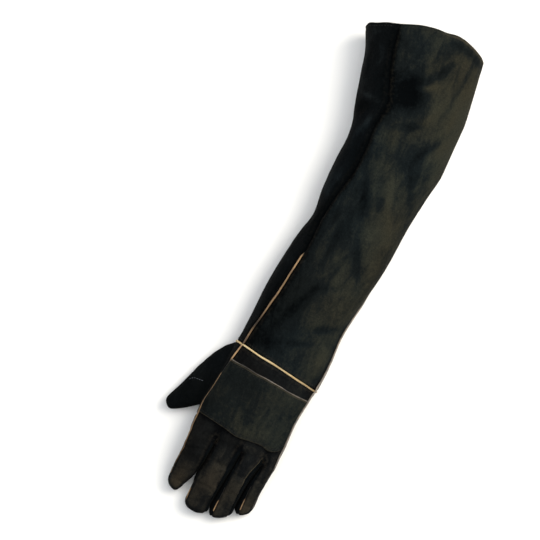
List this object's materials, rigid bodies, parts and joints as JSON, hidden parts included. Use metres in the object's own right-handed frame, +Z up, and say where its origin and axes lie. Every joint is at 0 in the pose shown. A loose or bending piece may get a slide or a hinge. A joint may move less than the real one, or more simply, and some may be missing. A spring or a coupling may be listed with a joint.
{
  "type": "animal handling glove",
  "caption": "Elbow-length suede leather glove for a left hand, with a wide gauntlet, a patch on the back of the hand, side strips between fingers and corded seams.",
  "frame": {"origin": "on the surface the glove lies on, under the middle of its box", "axes": "+Z up from the palm side to the back of the glove, +Y from the fingertips to the cuff, +X towards the little finger's side"},
  "size_m": [0.1793, 0.6009, 0.098],
  "materials": {
    "back_suede": "brownish black split suede, napped",
    "palm_suede": "bluish black split suede, napped",
    "gold_piping": "golden leather welt",
    "tan_piping": "tan leather welt, worn",
    "grey_piping": "grey raw leather edge"
  },
  "bodies": {
    "root": {"gauntlet_back": "back_suede", "gauntlet_palm": "palm_suede", "cuff_hem": "back_suede", "gauntlet_thumb_side_piping": "tan_piping", "gauntlet_little_side_piping": "grey_piping", "wrist_piping": "gold_piping", "hand_back": "back_suede", "hand_palm": "palm_suede", "side_strip_index_middle": "palm_suede", "side_strip_middle_ring": "palm_suede", "side_strip_ring_little": "palm_suede", "thumb_back": "palm_suede", "thumb_front": "palm_suede", "back_patch": "back_suede", "patch_edge": "grey_piping", "index_side_piping": "tan_piping", "little_side_piping": "grey_piping", "middle_tip_piping": "tan_piping", "ring_tip_piping": "tan_piping", "little_tip_piping": "tan_piping"}
  },
  "joints": []
}
